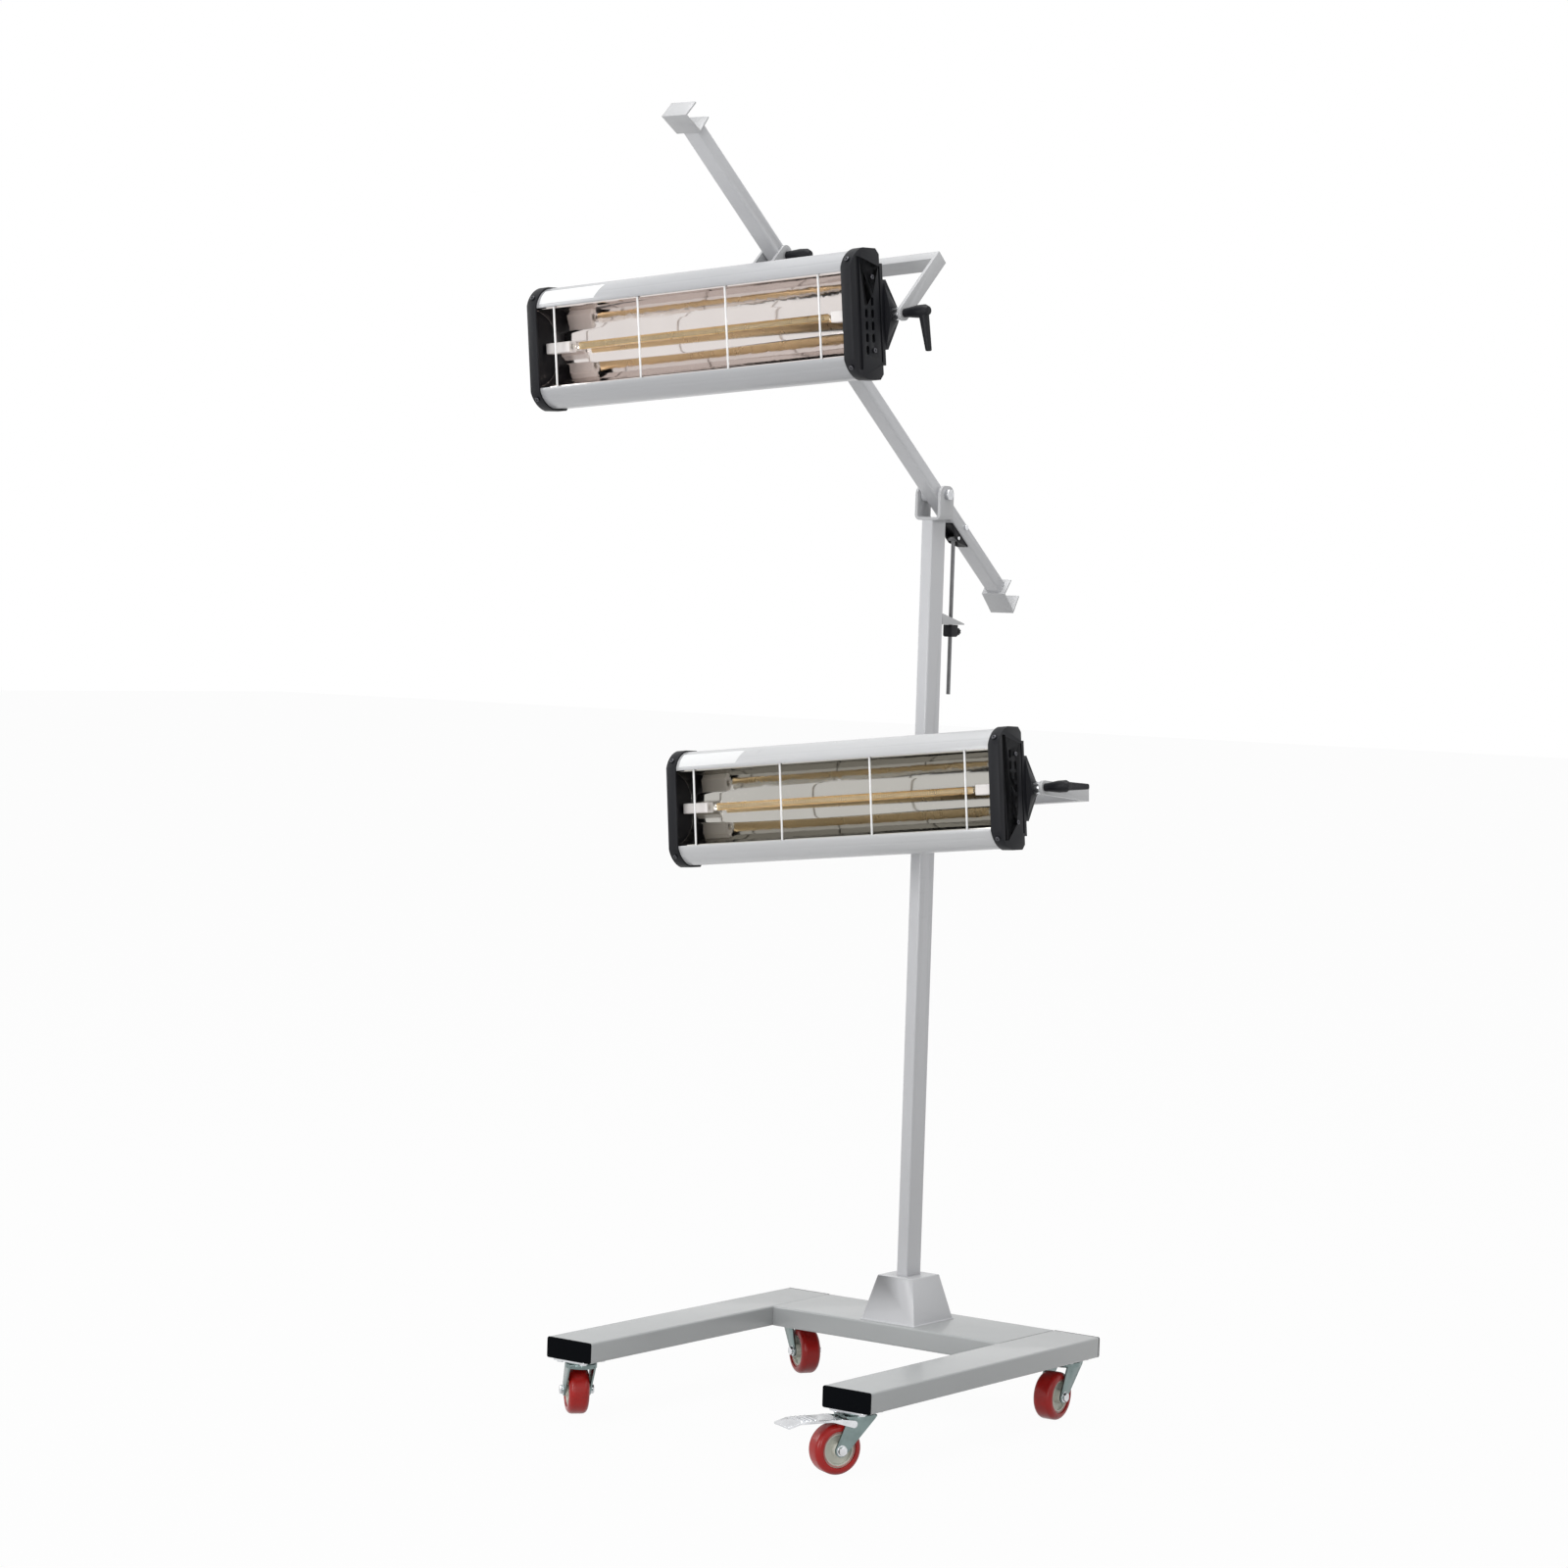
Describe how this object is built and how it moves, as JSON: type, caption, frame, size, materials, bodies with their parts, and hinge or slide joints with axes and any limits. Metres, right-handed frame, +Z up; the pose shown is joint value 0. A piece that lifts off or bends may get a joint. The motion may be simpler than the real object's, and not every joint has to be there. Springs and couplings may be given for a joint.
{
  "type": "infrared paint curing lamp",
  "caption": "Infrared curing lamp on a wheeled U-shaped stand: a post with a tilting arm, and long lamp heads in yokes with clamping levers.",
  "frame": {"origin": "on the floor under the middle of the whole lamp's box, in the stored pose", "axes": "+Z up, the lamp heads face -Y, and +X runs along the rear cross tube towards the side with the head levers"},
  "size_m": [0.685, 0.854, 1.8431],
  "materials": {
    "light_grey_paint": "satin powder coat",
    "grey_paint_fittings": "satin powder coat",
    "black_plastic": "fine grain",
    "black_steel": "satin",
    "bright_steel": "bright",
    "zinc_steel": "zinc plated",
    "red_tread": "semi-gloss",
    "cream_hub": "semi-gloss",
    "polished_reflector": "polished",
    "gold_quartz": "clear with a gold back",
    "white_ceramic": "glazed ceramic",
    "white_wire": "bright"
  },
  "bodies": {
    "stand": {"base_cross_tube": "light_grey_paint", "base_leg_left": "light_grey_paint", "base_leg_right": "light_grey_paint", "leg_end_caps": "black_plastic", "post_socket": "light_grey_paint", "post_tube": "light_grey_paint", "arm_clevis": "grey_paint_fittings", "arm_pivot_bolt": "bright_steel", "rod_bracket": "black_steel", "caster_plates": "zinc_steel", "caster_plate_screws": "bright_steel"},
    "arm": {"arm_tube": "light_grey_paint", "cable_hook_front": "grey_paint_fittings", "cable_hook_rear": "grey_paint_fittings", "rod_channel": "black_steel", "rod_channel_bolts": "bright_steel"},
    "stay_rod": {"stay_rod": "bright_steel"},
    "clamp_block": {"clamp_block": "black_plastic"},
    "clamp_screw": {"clamp_screw": "black_plastic"},
    "caster_front_left": {"caster_fork_front_left": "zinc_steel"},
    "wheel_front_left": {"caster_tread_front_left": "red_tread", "caster_hub_front_left": "cream_hub"},
    "caster_front_right": {"caster_fork_front_right": "zinc_steel"},
    "wheel_front_right": {"caster_tread_front_right": "red_tread", "caster_hub_front_right": "cream_hub"},
    "caster_rear_left": {"caster_fork_rear_left": "zinc_steel"},
    "wheel_rear_left": {"caster_tread_rear_left": "red_tread", "caster_hub_rear_left": "cream_hub"},
    "caster_rear_right": {"caster_fork_rear_right": "zinc_steel"},
    "wheel_rear_right": {"caster_tread_rear_right": "red_tread", "caster_hub_rear_right": "cream_hub"},
    "brake_pedal": {"brake_pedal": "bright_steel"},
    "upper_bracket": {"upper_bracket": "grey_paint_fittings", "upper_bracket_bolts": "bright_steel"},
    "upper_bracket_lever": {"upper_bracket_lever": "black_plastic"},
    "upper_yoke": {"upper_yoke": "grey_paint_fittings"},
    "upper_head": {"upper_housing": "light_grey_paint", "upper_end_cap_left": "black_plastic", "upper_end_cap_right": "black_plastic", "upper_cap_screws": "bright_steel", "upper_reflector": "polished_reflector", "upper_lamp": "gold_quartz", "upper_lamp_holders": "white_ceramic", "upper_guard_wires": "white_wire", "upper_tilt_bolts": "bright_steel"},
    "upper_tilt_lever": {"upper_tilt_lever": "black_plastic"},
    "lower_bracket": {"lower_bracket": "grey_paint_fittings", "lower_bracket_bolts": "bright_steel"},
    "lower_bracket_lever": {"lower_bracket_lever": "black_plastic"},
    "lower_yoke": {"lower_yoke": "grey_paint_fittings"},
    "lower_head": {"lower_housing": "light_grey_paint", "lower_end_cap_left": "black_plastic", "lower_end_cap_right": "black_plastic", "lower_cap_screws": "bright_steel", "lower_reflector": "polished_reflector", "lower_lamp": "gold_quartz", "lower_lamp_holders": "white_ceramic", "lower_guard_wires": "white_wire", "lower_tilt_bolts": "bright_steel"},
    "lower_tilt_lever": {"lower_tilt_lever": "black_plastic"}
  },
  "joints": [
    {"name": "arm_tilt", "type": "hinge", "parent": "stand", "child": "arm", "pos_m": [-0.01825, 0.22077, 1.344], "axis": [1, 0, 0], "range_deg": [-8, 20]},
    {"name": "stay_rod_swing", "type": "hinge", "parent": "arm", "child": "stay_rod", "pos_m": [-0.01825, 0.27364, 1.2816], "axis": [1, 0, 0], "range_deg": [-20.5, 8.5]},
    {"name": "clamp_slide", "type": "slide", "parent": "stand", "child": "clamp_block", "axis": [0, 1, 0], "range_m": [-0.0084, 0.0206]},
    {"name": "clamp_screw_turn", "type": "hinge", "parent": "clamp_block", "child": "clamp_screw", "pos_m": [-0.01825, 0.27364, 1.1427], "axis": [0, 1, 0], "continuous": true},
    {"name": "caster_swivel_front_left", "type": "hinge", "parent": "stand", "child": "caster_front_left", "pos_m": [-0.26225, -0.24473, 0.08], "axis": [0, 0, 1], "continuous": true},
    {"name": "wheel_spin_front_left", "type": "hinge", "parent": "caster_front_left", "child": "wheel_front_left", "pos_m": [-0.28826, -0.22131, 0.035], "axis": [-0.6691, -0.7431, 0], "continuous": true},
    {"name": "caster_swivel_front_right", "type": "hinge", "parent": "stand", "child": "caster_front_right", "pos_m": [0.22575, -0.24473, 0.08], "axis": [0, 0, 1], "continuous": true},
    {"name": "wheel_spin_front_right", "type": "hinge", "parent": "caster_front_right", "child": "wheel_front_right", "pos_m": [0.21096, -0.27645, 0.035], "axis": [0.9063, -0.4226, 0], "continuous": true},
    {"name": "caster_swivel_rear_left", "type": "hinge", "parent": "stand", "child": "caster_rear_left", "pos_m": [-0.26225, 0.27827, 0.08], "axis": [0, 0, 1], "continuous": true},
    {"name": "wheel_spin_rear_left", "type": "hinge", "parent": "caster_rear_left", "child": "wheel_rear_left", "pos_m": [-0.2329, 0.25921, 0.035], "axis": [0.5446, 0.8387, 0], "continuous": true},
    {"name": "caster_swivel_rear_right", "type": "hinge", "parent": "stand", "child": "caster_rear_right", "pos_m": [0.22575, 0.27827, 0.08], "axis": [0, 0, 1], "continuous": true},
    {"name": "wheel_spin_rear_right", "type": "hinge", "parent": "caster_rear_right", "child": "wheel_rear_right", "pos_m": [0.22758, 0.24332, 0.035], "axis": [0.9986, 0.0523, 0], "continuous": true},
    {"name": "brake_pedal_press", "type": "hinge", "parent": "caster_front_right", "child": "brake_pedal", "pos_m": [0.21814, -0.26104, 0.0705], "axis": [0.9063, -0.4226, 0], "range_deg": [0, 8]},
    {"name": "upper_bracket_tilt", "type": "hinge", "parent": "arm", "child": "upper_bracket", "pos_m": [-0.01825, -0.18496, 1.65793], "axis": [1, 0, 0], "range_deg": [-25, 25]},
    {"name": "upper_bracket_lever_turn", "type": "hinge", "parent": "upper_bracket", "child": "upper_bracket_lever", "pos_m": [-0.01825, -0.18496, 1.65793], "axis": [1, 0, 0], "range_deg": [0, 150]},
    {"name": "upper_head_swivel", "type": "hinge", "parent": "upper_bracket", "child": "upper_yoke", "pos_m": [-0.01825, -0.30581, 1.54122], "axis": [0, 0.7193, 0.6947], "range_deg": [-30, 30]},
    {"name": "upper_head_tilt", "type": "hinge", "parent": "upper_yoke", "child": "upper_head", "pos_m": [-0.01825, -0.30581, 1.54122], "axis": [0.9962, -0.0605, 0.0627], "range_deg": [-48, 131]},
    {"name": "upper_tilt_lever_turn", "type": "hinge", "parent": "upper_head", "child": "upper_tilt_lever", "pos_m": [-0.01825, -0.30581, 1.54122], "axis": [0.9962, -0.0605, 0.0627], "continuous": true},
    {"name": "lower_bracket_tilt", "type": "hinge", "parent": "stand", "child": "lower_bracket", "pos_m": [-0.01825, 0.22077, 0.879], "axis": [1, 0, 0], "range_deg": [-25, 25]},
    {"name": "lower_bracket_lever_turn", "type": "hinge", "parent": "lower_bracket", "child": "lower_bracket_lever", "pos_m": [-0.01825, 0.22077, 0.879], "axis": [1, 0, 0], "range_deg": [0, 150]},
    {"name": "lower_head_swivel", "type": "hinge", "parent": "lower_bracket", "child": "lower_yoke", "pos_m": [-0.01825, 0.05366, 0.89627], "axis": [0, 0.9947, -0.1028], "range_deg": [-30, 30]},
    {"name": "lower_head_tilt", "type": "hinge", "parent": "lower_yoke", "child": "lower_head", "pos_m": [-0.01825, 0.05366, 0.89627], "axis": [0.9942, 0.011, 0.1066], "range_deg": [-93, 86]},
    {"name": "lower_tilt_lever_turn", "type": "hinge", "parent": "lower_head", "child": "lower_tilt_lever", "pos_m": [-0.01825, 0.05366, 0.89627], "axis": [0.9942, 0.011, 0.1066], "continuous": true}
  ],
  "couplings": [
    {"joint": "stay_rod_swing", "follows": "arm_tilt", "ratio": -1},
    {"joint": "clamp_slide", "follows": "arm_tilt", "m_per_rad": 0.058}
  ]
}
